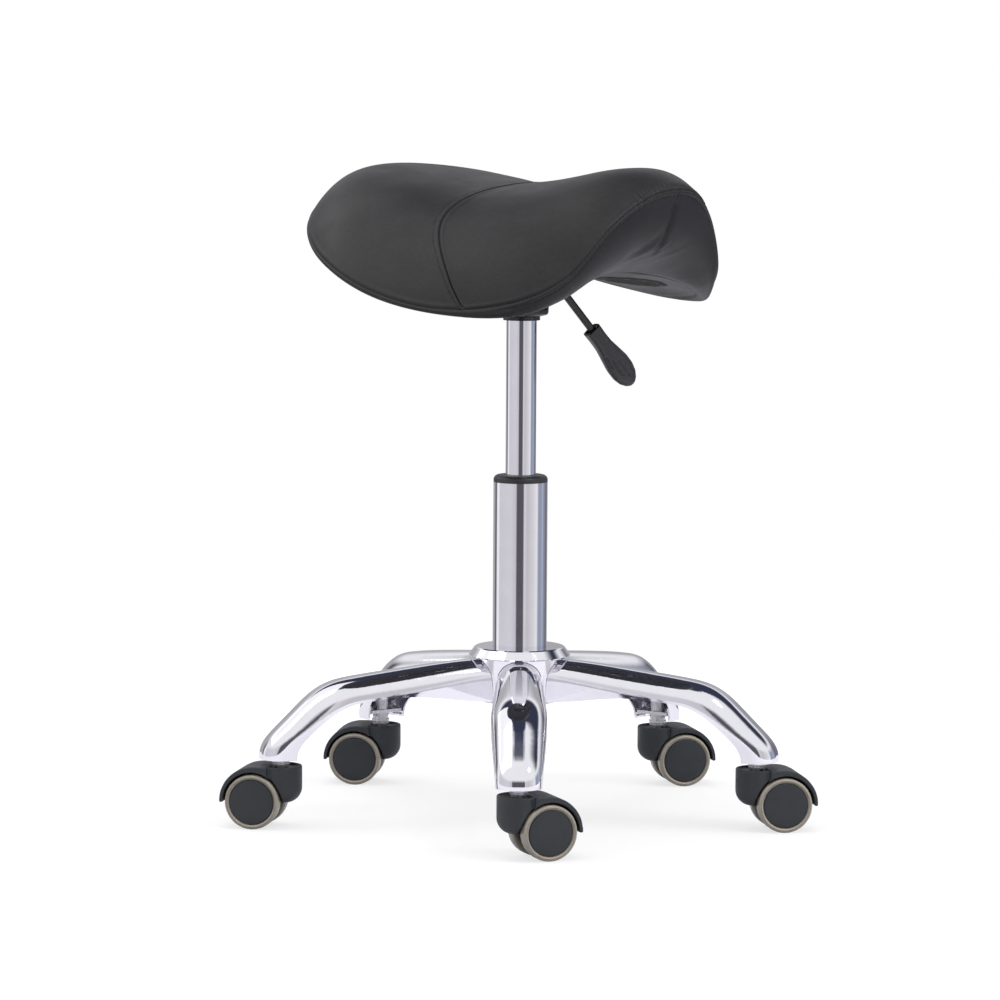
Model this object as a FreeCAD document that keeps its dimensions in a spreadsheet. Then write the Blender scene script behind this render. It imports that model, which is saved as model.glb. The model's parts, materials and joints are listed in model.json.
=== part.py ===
import FreeCAD, Part
import Sketcher
import math
import os

# Saddle stool on a five-legged rolling base, gas lift fully extended.
# Frame: origin on the floor under the column, +X towards the saddle's horn,
# +Y to the sitter's left, +Z up. Millimetres and degrees.

V = FreeCAD.Vector
Rot = FreeCAD.Rotation
Place = FreeCAD.Placement

SIZES = [
    # floor, casters and wheels
    ("stem_circle", 228.0),
    ("wheel_r", 25.0),
    ("core_r", 19.8),
    ("wheel_wide", 12.5),
    ("wheel_gap", 9.4),
    ("trail", 22.5),
    ("axle_r", 3.0),
    ("axle_long", 39.2),
    ("run_fit", 0.05),
    ("hood_r", 31.7),
    ("hood_wide", 44.0),
    ("web_wide", 17.0),
    ("pocket_r", 27.0),
    ("cup_r", 19.5),
    ("cup_top", 57.5),
    ("stem_r", 5.5),
    ("stem_top", 82.0),
    # legs and hub
    ("leg_wall", 2.0),
    ("socket_r", 7.5),
    ("hub_r", 40.0),
    ("hub_low", 108.0),
    ("hub_high", 149.6),
    ("collar_r", 46.8),
    ("collar_high", 158.6),
    # column and gas spring
    ("column_r", 25.0),
    ("column_wall", 1.5),
    ("column_low", 80.0),
    ("column_high", 311.0),
    ("bush_high", 317.5),
    ("spring_r", 14.0),
    ("spring_low", 222.0),
    ("spring_high", 478.0),
    ("rod_r", 5.0),
    ("rod_high", 244.0),
    ("piston_r", 12.0),
    # seat mechanism
    ("taper_low", 460.0),
    ("plate_low", 497.0),
    ("plate_thick", 3.0),
    ("plate_side", 96.0),
    ("bolt_half", 36.0),
    ("board_long", 120.0),
    ("board_wide", 130.0),
    ("board_thick", 12.0),
    ("lever_r", 3.5),
    ("lever_high", 485.5),
    ("lever_flat", 38.0),
    ("lever_slope", 49.0),
    ("lever_run", 62.0),
    ("grip_long", 66.0),
    ("grip_thick", 13.0),
    # saddle cushion
    ("saddle_mid", 586.0),
    ("saddle_base", 499.0),
]

doc = FreeCAD.newDocument("SaddleStool")
sheet = doc.addObject("Spreadsheet::Sheet", "Dims")
for row, (alias, value) in enumerate(SIZES, start=1):
    sheet.set("A%d" % row, alias)
    sheet.set("B%d" % row, "%g" % value)
    sheet.setAlias("B%d" % row, alias)
doc.recompute()


class Dim:
    """A size from the sheet, kept with the expression that gives it."""

    def __init__(self, value, text):
        self.value = value
        self.text = text

    def __add__(self, other):
        return Dim(self.value + value_of(other), "%s + %s" % (self.text, text_of(other)))

    def __sub__(self, other):
        return Dim(self.value - value_of(other), "%s - %s" % (self.text, text_of(other)))

    def __mul__(self, factor):
        return Dim(self.value * factor, "(%s) * %g" % (self.text, factor))


def value_of(size):
    return size.value if isinstance(size, Dim) else float(size)


def text_of(size):
    return "(%s)" % size.text if isinstance(size, Dim) else "%g" % size


D = {alias: Dim(sheet.get(alias), "Dims.%s" % alias) for alias, value in SIZES}
NODES = []


def node(obj, label, place=None):
    """Names a finished sub-part and puts it in place."""
    obj.Label = label
    if place is not None:
        obj.Placement = place
    NODES.append(obj)
    return obj


def polar(radius, degrees, height=0.0):
    angle = math.radians(degrees)
    return V(radius * math.cos(angle), radius * math.sin(angle), height)


# ---------------------------------------------------------------- sketches

def origin_plane(body, role):
    return next(item for item in body.Origin.OriginFeatures if item.Role == role)


def new_sketch(body, role, offset=None):
    sketch = body.newObject("Sketcher::SketchObject", "Sketch")
    sketch.AttachmentSupport = [(origin_plane(body, role), "")]
    sketch.MapMode = "FlatFace"
    if offset is not None:
        sketch.AttachmentOffset = offset
    return sketch


def constrain(sketch, size, *what):
    """Adds one dimension, bound to the sheet when the size comes from it."""
    index = sketch.addConstraint(Sketcher.Constraint(*what, value_of(size)))
    if isinstance(size, Dim):
        sketch.setExpression("Constraints[%d]" % index, size.text)


def pin_point(sketch, geometry, position, x, y):
    for size, kind, axis in ((x, "DistanceX", -2), (y, "DistanceY", -1)):
        if value_of(size) == 0:
            sketch.addConstraint(Sketcher.Constraint("PointOnObject", geometry, position, axis))
        else:
            constrain(sketch, size, kind, -1, 1, geometry, position)


def arc_between(start, end, radius):
    """Short arc from start to end; a positive radius turns left."""
    chord = end - start
    middle = (start + end) * 0.5
    reach = math.sqrt(max(radius * radius - chord.Length * chord.Length / 4, 0.0))
    left = V(-chord.y, chord.x, 0).normalize()
    centre = middle + left * (reach if radius > 0 else -reach)
    first, last = (start, end) if radius > 0 else (end, start)
    angles = [math.atan2(point.y - centre.y, point.x - centre.x) for point in (first, last)]
    return Part.ArcOfCircle(Part.Circle(centre, V(0, 0, 1), abs(radius)), *angles)


def outline(sketch, points, arcs=None):
    """Closed outline; arcs maps an edge's number to its signed radius."""
    arcs = arcs or {}
    count = len(points)
    places = [V(value_of(x), value_of(y), 0) for x, y in points]
    first = sketch.GeometryCount
    ends = []
    for index in range(count):
        start, end = places[index], places[(index + 1) % count]
        radius = value_of(arcs.get(index, 0))
        if radius:
            sketch.addGeometry(arc_between(start, end, radius), False)
            ends.append((1, 2) if radius > 0 else (2, 1))
        else:
            sketch.addGeometry(Part.LineSegment(start, end), False)
            ends.append((1, 2))
    for index in range(count):
        after = (index + 1) % count
        sketch.addConstraint(Sketcher.Constraint(
            "Coincident", first + index, ends[index][1], first + after, ends[after][0]))
        pin_point(sketch, first + index, ends[index][0], *points[index])
        if index in arcs:
            constrain(sketch, abs(value_of(arcs[index])), "Radius", first + index)
    return sketch


def circle(sketch, x, y, radius):
    index = sketch.addGeometry(Part.Circle(V(value_of(x), value_of(y), 0), V(0, 0, 1), value_of(radius)), False)
    pin_point(sketch, index, 3, x, y)
    constrain(sketch, radius, "Radius", index)
    return sketch


# ---------------------------------------------------------------- features

def new_body(name):
    return doc.addObject("PartDesign::Body", name)


def pad(body, sketch, length, both_ways=True):
    feature = body.newObject("PartDesign::Pad", "Pad")
    feature.Profile = sketch
    feature.Length = value_of(length)
    feature.SideType = "Symmetric" if both_ways else "One side"
    if isinstance(length, Dim):
        feature.setExpression("Length", length.text)
    return feature


def pocket(body, sketch, length, reverse=False, both_ways=False):
    """Cuts a pocket and makes sure that it took something away."""
    doc.recompute()
    before = body.Shape.Volume
    feature = body.newObject("PartDesign::Pocket", "Pocket")
    feature.Profile = sketch
    feature.Length = value_of(length)
    feature.SideType = "Symmetric" if both_ways else "One side"
    feature.Reversed = reverse
    if isinstance(length, Dim):
        feature.setExpression("Length", length.text)
    doc.recompute()
    if body.Shape.Volume > before - 0.01:
        raise ValueError("a pocket in %s cuts nothing" % body.Name)
    return feature


def revolve(body, points, arcs=None):
    """Solid of revolution about Z from an outline of (radius, height) points."""
    sketch = outline(new_sketch(body, "XZ_Plane"), points, arcs)
    feature = body.newObject("PartDesign::Revolution", "Revolution")
    feature.Profile = sketch
    feature.ReferenceAxis = (sketch, ["V_Axis"])
    feature.Angle = 360
    return feature


def turned(label, points, arcs=None, place=None):
    body = new_body(label)
    revolve(body, points, arcs)
    return node(body, label, place)


def rings(low, high, inner, outer):
    """Outline of a plain tube."""
    return [(inner, low), (outer, low), (outer, high), (inner, high)]


def primitive(kind, name, place=None, **sizes):
    """A Part primitive whose sizes follow the sheet."""
    obj = doc.addObject("Part::" + kind, name)
    for key, size in sizes.items():
        setattr(obj, key, value_of(size))
        if isinstance(size, Dim):
            obj.setExpression(key, size.text)
    if place is not None:
        obj.Placement = place
    return obj


def combined(kind, name, parts):
    obj = doc.addObject("Part::" + kind, name)
    if kind == "Cut":
        obj.Base, obj.Tool = parts
    elif kind == "Compound":
        obj.Links = parts
    else:
        obj.Shapes = parts
    return obj


# ---------------------------------------------------------------- twin-wheel casters

# name, plan angle of the leg, plan angle in which the wheels trail
CORNERS = [
    ("front", -57.0, 54.0),
    ("right", 15.0, 43.0),
    ("back_right", 87.0, 46.0),
    ("back_left", 159.0, 206.5),
    ("left", 231.0, 202.0),
]


def caster_housing(label, place):
    body = new_body(label)
    cup = D["cup_r"]
    top = D["cup_top"]
    revolve(body, [(0, 23), (6, 23), (cup, 36.5), (cup, top - 0.8), (cup - 0.8, top),
                   (cup - 2.2, top), (cup - 2.6, top - 2.5), (0, top - 2.5)], {1: 14.2})
    trail = D["trail"]
    hood = outline(new_sketch(body, "XZ_Plane"), [
        (trail + 30.2, 24), (trail + 20.9, 47.9), (trail - 1.5, 57.2), (8, 57.2), (8, 50),
        (2, 38), (-2, 24), (10, 23), (trail - 6.5, 18), (trail + 6.5, 18), (trail + 10, 24)],
        {0: D["hood_r"], 1: D["hood_r"], 8: 8.0})
    pad(body, hood, D["hood_wide"])
    for side in (1, -1):
        shift = Place(V(0, 0, side * (D["web_wide"].value / 2)), Rot())
        wheel_room = circle(new_sketch(body, "XZ_Plane", shift), trail, D["wheel_r"], D["pocket_r"])
        pocket(body, wheel_room, 20, reverse=side > 0)
    axle_hole = circle(new_sketch(body, "XZ_Plane"), trail, D["wheel_r"], D["axle_r"])
    pocket(body, axle_hole, D["hood_wide"], both_ways=True)
    top_plane = new_sketch(body, "XY_Plane", Place(V(0, 0, D["cup_top"].value), Rot()))
    pocket(body, circle(top_plane, 0, 0, D["stem_r"] + D["run_fit"]), 27.5)
    return node(body, label, place)


def wheel(label, place):
    """Wheel core and its tyre; local +Z points outwards along the axle."""
    core = D["core_r"]
    tread = D["wheel_r"]
    wide = D["wheel_wide"]
    hole = D["axle_r"] + D["run_fit"]
    turned(label + "_core", [
        (hole, 0), (7, 0), (8, 1.5), (core - 3.3, 1.5), (core - 2.5, 0.4), (core, 0.4),
        (core, wide - 0.4), (core - 1.2, wide - 0.1), (core - 2.4, wide - 0.1),
        (core - 3.2, wide - 0.9), (0, wide - 0.9), (0, wide - 1.9), (hole, wide - 1.9)],
        place=place)
    turned(label + "_tyre", [
        (core, 0.4), (core + 1.2, 0), (tread - 2.6, 0), (tread, 2.6), (tread, wide - 3),
        (tread - 3, wide), (core + 0.8, wide), (core, wide - 0.4)], {2: 2.6, 4: 3.0}, place)


for name, leg_angle, trail_angle in CORNERS:
    stem_place = Place(polar(D["stem_circle"].value, leg_angle), Rot(V(0, 0, 1), trail_angle))
    caster_housing("caster_%s_housing" % name, stem_place)
    shank = D["stem_r"]
    turned("caster_%s_stem" % name, [
        (0, 30.3), (shank, 30.3), (shank, 57.6), (shank + 2.6, 57.6), (shank + 2.6, 59.6),
        (shank, 59.6), (shank, D["stem_top"] - 1), (shank - 1, D["stem_top"]),
        (0, D["stem_top"])], place=stem_place)
    half = D["axle_long"] * 0.5
    lying = Place(V(D["trail"].value, 0, D["wheel_r"].value), Rot(V(1, 0, 0), -90))
    turned("caster_%s_axle" % name, [
        (0, half * -1), (D["axle_r"], half * -1), (D["axle_r"], half), (0, half)],
        place=stem_place.multiply(lying))
    for side, turn, offset in (("left", -90, 1), ("right", 90, -1)):
        spot = V(D["trail"].value, offset * D["wheel_gap"].value, D["wheel_r"].value)
        wheel("wheel_%s_%s" % (name, side), stem_place.multiply(Place(spot, Rot(V(1, 0, 0), turn))))


# ---------------------------------------------------------------- legs, hub and column

# Stations along a leg: where the open edge and the crown lie as (distance
# from the column, height), the channel's width and its crown radius.
LEG_STATIONS = [
    ((32.0, 110.5), (32.0, 148.0), 40.0, 18.0),
    ((46.0, 111.0), (46.0, 148.0), 41.0, 18.5),
    ((78.0, 114.8), (80.0, 145.5), 44.5, 20.0),
    ((115.0, 118.0), (120.0, 141.0), 48.0, 20.5),
    ((150.0, 115.6), (161.0, 135.8), 50.0, 20.5),
    ((179.0, 107.5), (197.0, 123.4), 50.0, 21.0),
    ((201.0, 91.0), (223.0, 100.0), 47.0, 20.0),
    ((215.5, 75.0), (243.0, 79.0), 43.0, 18.0),
    ((218.0, 63.5), (247.0, 63.5), 41.0, 17.0),
]


def channel_section(body, low, high, width, crown):
    """Inverted-U outline of the pressed channel, on the plane through low and high."""
    rise = math.hypot(high[0] - low[0], high[1] - low[1])
    lean = math.degrees(math.atan2(high[0] - low[0], high[1] - low[1]))
    # The YZ plane's sketch has x along +Y and y along +Z; lean tips it outwards.
    offset = Place(V(0, low[1], low[0]), Rot(V(1, 0, 0), lean))
    half = width / 2
    wall = D["leg_wall"]
    inner = Dim(half, "%g" % half) - wall
    roof = Dim(rise, "%g" % rise) - wall
    shoulder = rise - crown
    points = [(half, 0), (half, shoulder), (half - crown, rise), (crown - half, rise),
              (-half, shoulder), (-half, 0), (inner * -1, 0), (inner * -1, shoulder),
              (crown - half, roof), (half - crown, roof), (inner, shoulder), (inner, 0)]
    bend = crown - wall.value
    arcs = {1: crown, 3: crown, 7: -bend, 9: -bend}
    return outline(new_sketch(body, "YZ_Plane", offset), points, arcs)


for name, leg_angle, trail_angle in CORNERS:
    leg = new_body("leg_" + name)
    sections = [channel_section(leg, *station) for station in LEG_STATIONS]
    loft = leg.newObject("PartDesign::AdditiveLoft", "Loft")
    loft.Profile = sections[0]
    loft.Sections = sections[1:]
    loft.Ruled = False
    node(leg, "leg_" + name, Place(V(0, 0, 0), Rot(V(0, 0, 1), leg_angle)))

sockets = []
for name, leg_angle, trail_angle in CORNERS:
    low = D["stem_top"].value - 21.5
    outer = primitive("Cylinder", "SocketTube", Place(V(0, 0, low), Rot()),
                      Radius=D["socket_r"], Height=23)
    flange = primitive("Cylinder", "SocketFlange", Place(V(0, 0, low), Rot()),
                       Radius=D["socket_r"] + 1, Height=2)
    bridge = primitive("Box", "SocketBridge", Place(V(-10, -17.5, low + 8.5), Rot()),
                       Length=17, Width=35, Height=3)
    hole = primitive("Cylinder", "SocketBore", Place(V(0, 0, low - 1), Rot()),
                     Radius=D["stem_r"], Height=26)
    solid = combined("MultiFuse", "SocketSolid", [outer, flange, bridge])
    socket = combined("Cut", "Socket", [solid, hole])
    socket.Placement = Place(polar(D["stem_circle"].value, leg_angle), Rot(V(0, 0, 1), leg_angle))
    sockets.append(socket)
node(combined("Compound", "Sockets", sockets), "caster_sockets")

hub = new_body("base_hub")
column = D["column_r"]
revolve(hub, [(column + 0.1, D["hub_low"]), (D["hub_r"] - 4, D["hub_low"]),
              (D["hub_r"] - 3, D["hub_low"] + 1), (D["hub_r"], D["hub_high"]),
              (column + 0.1, D["hub_high"])])
for name, leg_angle, trail_angle in CORNERS:
    # Socket for one leg: its outline a little larger than the leg's root.
    turn = Place(V(0, 0, 0), Rot(V(0, 1, 0), leg_angle))
    mouth = new_sketch(hub, "YZ_Plane", Place(
        V(0, 0, 0), Rot(V(0, 1, 0), leg_angle)).multiply(Place(V(0, 0, 31.7), Rot())))
    outline(mouth, [(20.6, 109.9), (20.6, 129.9), (2.1, 148.4), (-2.1, 148.4),
                    (-20.6, 129.9), (-20.6, 109.9)], {1: 18.5, 3: 18.5})
    pocket(hub, mouth, 20, reverse=True)
node(hub, "base_hub")

turned("hub_collar", [
    (column + 0.1, D["hub_high"] + 0.1), (D["collar_r"] - 0.8, D["hub_high"] + 0.1),
    (D["collar_r"], D["hub_high"] + 1.2), (D["collar_r"] - 5.0, D["collar_high"] - 0.8),
    (D["collar_r"] - 6.4, D["collar_high"]), (column + 0.1, D["collar_high"])])

wall = D["column_wall"]
foot = D["column_low"]
turned("column_tube", [
    (D["rod_r"] - 0.7, foot), (column - 1.5, foot), (column, foot + 32),
    (column, D["column_high"]), (column - wall, D["column_high"]), (column - wall, foot + 32),
    (column - wall - 1.5, foot + 4), (D["rod_r"] - 0.7, foot + 4)])

lip = D["column_high"] + 0.02
bush_bore = D["spring_r"] + 0.07
turned("column_bush", [
    (bush_bore, lip - 60), (column - wall - 0.1, lip - 60), (column - wall - 0.1, lip),
    (column, lip), (column, D["bush_high"] - 4.5), (column - 4.5, D["bush_high"]),
    (bush_bore, D["bush_high"])], {4: 4.5})

# Thrust bearing that carries the rod on the column's floor.
race = foot + 4
turned("bearing_lower_race", rings(race, race + 2, D["rod_r"] - 0.6, 11))
balls = [primitive("Sphere", "Ball", Place(polar(7.8, 36 * step, race.value + 3.4), Rot()), Radius=1.4)
         for step in range(10)]
node(combined("Compound", "Balls", balls), "bearing_balls")
turned("bearing_upper_race", rings(race + 5.1, race + 7, D["rod_r"] - 1, 11))

rod = D["rod_r"]
stub = rod - 1
rod_top = D["rod_high"]
turned("gas_rod", [
    (0, foot - 4), (stub + 3, foot - 4), (stub + 3, foot - 0.4), (stub, foot - 0.4), (stub, race + 7),
    (rod, race + 7), (rod, rod_top - 4), (D["piston_r"], rod_top - 4),
    (D["piston_r"], rod_top + 8), (0, rod_top + 8)])

tube = D["spring_r"]
spring_low = D["spring_low"]
spring_high = D["spring_high"]
turned("gas_cylinder", [
    (rod + D["run_fit"], spring_low), (tube - 1, spring_low), (tube, spring_low + 1),
    (tube, spring_high - 1), (tube - 1, spring_high), (5, spring_high), (5, spring_high - 12),
    (tube - 1.8, spring_high - 12), (tube - 1.8, spring_low + 12), (rod + D["run_fit"], spring_low + 12)])
turned("release_pin", [
    (0, spring_high - 8), (4.2, spring_high - 8), (4.2, spring_high + 3.6), (0, spring_high + 3.6)])


# ---------------------------------------------------------------- seat mechanism

LEVER_ANGLE = 63.0
lever_place = Place(V(0, 0, 0), Rot(V(0, 0, 1), LEVER_ANGLE))
lever = D["lever_r"]
taper = D["taper_low"]
plate = D["plate_low"]

socket_body = new_body("taper_socket")
revolve(socket_body, [
    (tube + 0.02, taper), (17, taper), (17, taper + 8), (25, taper + 14), (25, plate - 4),
    (25, plate), (8.5, plate), (8.5, spring_high + 0.3), (tube + 0.02, spring_high + 0.3)])
slot_floor = D["lever_high"] - 7
slot = outline(new_sketch(socket_body, "YZ_Plane"), [
    (lever + 1.2, slot_floor), (lever + 1.2, plate + 1), (lever * -1 - 1.2, plate + 1),
    (lever * -1 - 1.2, slot_floor)])
pocket(socket_body, slot, 30, reverse=True)
node(socket_body, "taper_socket", lever_place)

plate_body = new_body("mechanism_plate")
side = D["plate_side"] * 0.5
level = Place(V(0, 0, plate.value), Rot())
plate_sketch = outline(new_sketch(plate_body, "XY_Plane", level), [
    (side - 8, side * -1), (side, side * -1 + 8), (side, side - 8), (side - 8, side),
    (side * -1 + 8, side), (side * -1, side - 8), (side * -1, side * -1 + 8),
    (side * -1 + 8, side * -1)], {0: 8.0, 2: 8.0, 4: 8.0, 6: 8.0})
pad(plate_body, plate_sketch, D["plate_thick"], both_ways=False)
holes = new_sketch(plate_body, "XY_Plane", level)
for x in (1, -1):
    for y in (1, -1):
        circle(holes, D["bolt_half"] * x, D["bolt_half"] * y, 3.3)
pocket(plate_body, holes, 10, reverse=True)
node(plate_body, "mechanism_plate")

bolts = []
for x in (1, -1):
    for y in (1, -1):
        head = primitive("Cylinder", "BoltHead", Place(V(0, 0, plate.value - 4.5), Rot()), Radius=5.5, Height=4.5)
        shank = primitive("Cylinder", "BoltShank", Place(V(0, 0, plate.value - 1), Rot()), Radius=3, Height=15)
        bolt = combined("MultiFuse", "Bolt", [head, shank])
        bolt.Placement = Place(V(x * D["bolt_half"].value, y * D["bolt_half"].value, 0), Rot())
        bolts.append(bolt)
node(combined("Compound", "Bolts", bolts), "plate_bolts")

board = new_body("seat_board")
board_level = Place(V(0, 0, plate.value + D["plate_thick"].value), Rot())
long_half = D["board_long"] * 0.5
wide_half = D["board_wide"] * 0.5
board_sketch = outline(new_sketch(board, "XY_Plane", board_level), [
    (long_half - 20, wide_half * -1), (long_half, wide_half * -1 + 20), (long_half, wide_half - 20),
    (long_half - 20, wide_half), (long_half * -1 + 20, wide_half), (long_half * -1, wide_half - 20),
    (long_half * -1, wide_half * -1 + 20), (long_half * -1 + 20, wide_half * -1)],
    {0: 20.0, 2: 20.0, 4: 20.0, 6: 20.0})
pad(board, board_sketch, D["board_thick"], both_ways=False)
bolt_holes = new_sketch(board, "XY_Plane", board_level)
for x in (1, -1):
    for y in (1, -1):
        circle(bolt_holes, D["bolt_half"] * x, D["bolt_half"] * y, 3.1)
pocket(board, bolt_holes, 30, reverse=True)
node(board, "seat_board")

# Lever: level inside the socket, then down to the grip.
PIVOT_OUT = 33.0
slope = math.radians(D["lever_slope"].value)
bend_r = 12.0
flat = D["lever_flat"].value
run = D["lever_run"].value
lever_level = D["lever_high"].value
bend_end = V(flat + bend_r * math.sin(slope), lever_level - bend_r * (1 - math.cos(slope)), 0)
lever_end = bend_end + V(math.cos(slope), -math.sin(slope), 0) * run

rod_body = new_body("lever_rod")
spine = new_sketch(rod_body, "XZ_Plane")
spine.addGeometry(Part.LineSegment(V(1, lever_level, 0), V(flat, lever_level, 0)), False)
spine.addGeometry(Part.ArcOfCircle(Part.Circle(V(flat, lever_level - bend_r, 0), V(0, 0, 1), bend_r),
                                   math.pi / 2 - slope, math.pi / 2), False)
spine.addGeometry(Part.LineSegment(bend_end, lever_end), False)
spine.addConstraint(Sketcher.Constraint("Horizontal", 0))
spine.addConstraint(Sketcher.Constraint("Tangent", 0, 2, 1, 2))
spine.addConstraint(Sketcher.Constraint("Tangent", 1, 1, 2, 1))
pin_point(spine, 0, 1, 1, D["lever_high"])
constrain(spine, D["lever_flat"] - 1, "DistanceX", 0, 1, 0, 2)
constrain(spine, bend_r, "Radius", 1)
constrain(spine, lever_end.x, "DistanceX", -1, 1, 2, 2)
constrain(spine, lever_end.y, "DistanceY", -1, 1, 2, 2)
rod_ring = circle(new_sketch(rod_body, "YZ_Plane", Place(V(0, 0, 1), Rot())), 0, D["lever_high"], lever)
pipe = rod_body.newObject("PartDesign::AdditivePipe", "Pipe")
pipe.Profile = rod_ring
pipe.Spine = spine
doc.recompute()
pivot_hole = circle(new_sketch(rod_body, "XZ_Plane"), PIVOT_OUT, D["lever_high"], 1.55)
pocket(rod_body, pivot_hole, 12, both_ways=True)
node(rod_body, "lever_rod", lever_place)

# Pivot pin across the lever, held in two ears under the plate.
pin_spot = V(PIVOT_OUT, 0, lever_level)
turned("lever_pivot_pin", [(0, -8), (1.5, -8), (1.5, 8), (0, 8)],
       place=lever_place.multiply(Place(pin_spot, Rot(V(1, 0, 0), -90))))
ears = []
for side_y in (5.2, -7.7):
    ear = primitive("Box", "Ear", Place(V(PIVOT_OUT - 5, side_y, lever_level - 4), Rot()),
                    Length=10, Width=2.5, Height=plate - D["lever_high"] + 4)
    ears.append(ear)
ear_pair = combined("MultiFuse", "EarPair", ears)
ear_hole = primitive("Cylinder", "EarHole", Place(V(PIVOT_OUT, 10, lever_level), Rot(V(1, 0, 0), 90)),
                     Radius=1.5, Height=20)
node(combined("Cut", "Ears", [ear_pair, ear_hole]), "lever_bracket", lever_place)

# Grip: a socket that swells into a rounded paddle; local +X runs down the
# lever and local +Z is the thin way through it.
grip = new_body("lever_handle")
long_grip = D["grip_long"]
grip_sketch = outline(new_sketch(grip, "XY_Plane"), [
    (0, -6.5), (18, -6.8), (44, -10.5), (long_grip - 10, -9.6), (long_grip, 0), (long_grip - 10, 9.6),
    (44, 10.5), (18, 6.8), (0, 6.5)], {3: 10.6, 4: 10.6})
grip_pad = pad(grip, grip_sketch, D["grip_thick"])
doc.recompute()
rims = ["Edge%d" % (number + 1) for number, edge in enumerate(grip_pad.Shape.Edges)
        if all(abs(abs(vertex.Z) - D["grip_thick"].value / 2) < 0.01 for vertex in edge.Vertexes)
        and max(vertex.X for vertex in edge.Vertexes) > 1]
rounding = grip.newObject("PartDesign::Fillet", "Rounding")
rounding.Base = (grip_pad, rims)
rounding.Radius = 4.0
doc.recompute()
mouth = circle(new_sketch(grip, "YZ_Plane"), 0, 0, lever + 1.6)
pocket(grip, mouth, 5, reverse=True)
seat = circle(new_sketch(grip, "YZ_Plane"), 0, 0, lever)
pocket(grip, seat, 18, reverse=True)
grip_start = lever_end - V(math.cos(slope), -math.sin(slope), 0) * 17.9
grip_place = Place(V(grip_start.x, 0, grip_start.y),
                   Rot(V(0, 1, 0), D["lever_slope"].value).multiply(Rot(V(1, 0, 0), 90)))
node(grip, "lever_handle", lever_place.multiply(grip_place))


# ---------------------------------------------------------------- saddle cushion

# The saddle's plan and heights, by angle from the horn (both sides alike).
# seam: where the top cover meets the side band; hem: the band's lower edge;
# rise: how far the top swells above or falls below the middle on its way out;
# swell: how far the band stands off the straight line from seam to hem.
SADDLE = [
    # angle  seam r  seam z  hem r  hem z   rise  swell
    (0, 167, 583, 100, 506, 42, 20),
    (15, 168, 576, 106, 505, 38, 17),
    (30, 174, 551, 128, 500, 14, 12),
    (45, 185, 513, 156, 488, -22, 11),
    (60, 190, 491, 180, 476, -46, 10),
    (80, 192, 485, 187, 475, -54, 4),
    (100, 195, 493, 190, 483, -36, 3),
    (125, 197, 521, 192, 512, 10, 3),
    (150, 196, 552, 190, 544, 38, 3),
    (180, 192, 571, 186, 562, 46, 3),
]


def saddle_at(column_index, degrees):
    """Smooth value of one column of the table at an angle from the horn."""
    away = abs((degrees + 180.0) % 360.0 - 180.0)
    angles = [entry[0] for entry in SADDLE]
    values = [entry[column_index] for entry in SADDLE]
    left = max(index for index in range(len(angles) - 1) if angles[index] <= away)

    def slope_at(index):
        if index in (0, len(angles) - 1):
            return 0.0
        return (values[index + 1] - values[index - 1]) / (angles[index + 1] - angles[index - 1])

    span = angles[left + 1] - angles[left]
    u = (away - angles[left]) / span
    first, last = slope_at(left) * span, slope_at(left + 1) * span
    return ((2 * u**3 - 3 * u**2 + 1) * values[left] + (u**3 - 2 * u**2 + u) * first
            + (3 * u**2 - 2 * u**3) * values[left + 1] + (u**3 - u**2) * last)


def cover_point(share, degrees):
    radius, edge = saddle_at(1, degrees), saddle_at(2, degrees)
    rise = saddle_at(5, degrees)
    middle = D["saddle_mid"].value
    height = middle + rise * share**2 + (edge - middle - rise) * share**6
    return polar(radius * share, degrees, height)


def band_point(share, degrees):
    radii = saddle_at(1, degrees), saddle_at(3, degrees)
    heights = saddle_at(2, degrees), saddle_at(4, degrees)
    run_in, drop = radii[1] - radii[0], heights[0] - heights[1]
    length = math.hypot(run_in, drop)
    stand_off = saddle_at(6, degrees) * 4 * share * (1 - share)
    radius = radii[0] + run_in * share + stand_off * drop / length
    height = heights[0] - drop * share + stand_off * run_in / length
    return polar(radius, degrees, height)


def under_point(share, degrees):
    base = D["saddle_base"].value
    radius, edge = saddle_at(3, degrees), saddle_at(4, degrees)
    return polar(radius * share, degrees, base + (edge - base) * share**4)


def ring_wire(point_at, share):
    """Closed smooth curve round the saddle at one share of the way out."""
    curve = Part.BSplineCurve()
    curve.interpolate([point_at(share, 10.0 * step) for step in range(36)], PeriodicFlag=True)
    return Part.Wire([curve.toShape()])


def flat_disc(height, radius):
    return Part.Wire([Part.Circle(V(0, 0, height), V(0, 0, 1), radius).toShape()])


def skin(wires):
    return Part.makeLoft(wires, False, False, False)


middle_r = 12.0
top_middle = flat_disc(D["saddle_mid"].value, middle_r)
low_middle = flat_disc(D["saddle_base"].value, middle_r)
seam_wire = ring_wire(cover_point, 1.0)
hem_wire = ring_wire(under_point, 1.0)
cover = skin([top_middle] + [ring_wire(cover_point, s) for s in (0.25, 0.45, 0.65, 0.82, 0.93)] + [seam_wire])
band = skin([seam_wire] + [ring_wire(band_point, s) for s in (0.3, 0.55, 0.8)] + [hem_wire])
under = skin([hem_wire] + [ring_wire(under_point, s) for s in (0.8, 0.55, 0.3)] + [low_middle])
faces = cover.Faces + band.Faces + under.Faces + [Part.Face(top_middle), Part.Face(low_middle)]
shell = Part.makeShell(faces)
shell.sewShape()
foam = Part.Solid(shell)
if foam.Volume < 0:
    foam.reverse()
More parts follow.
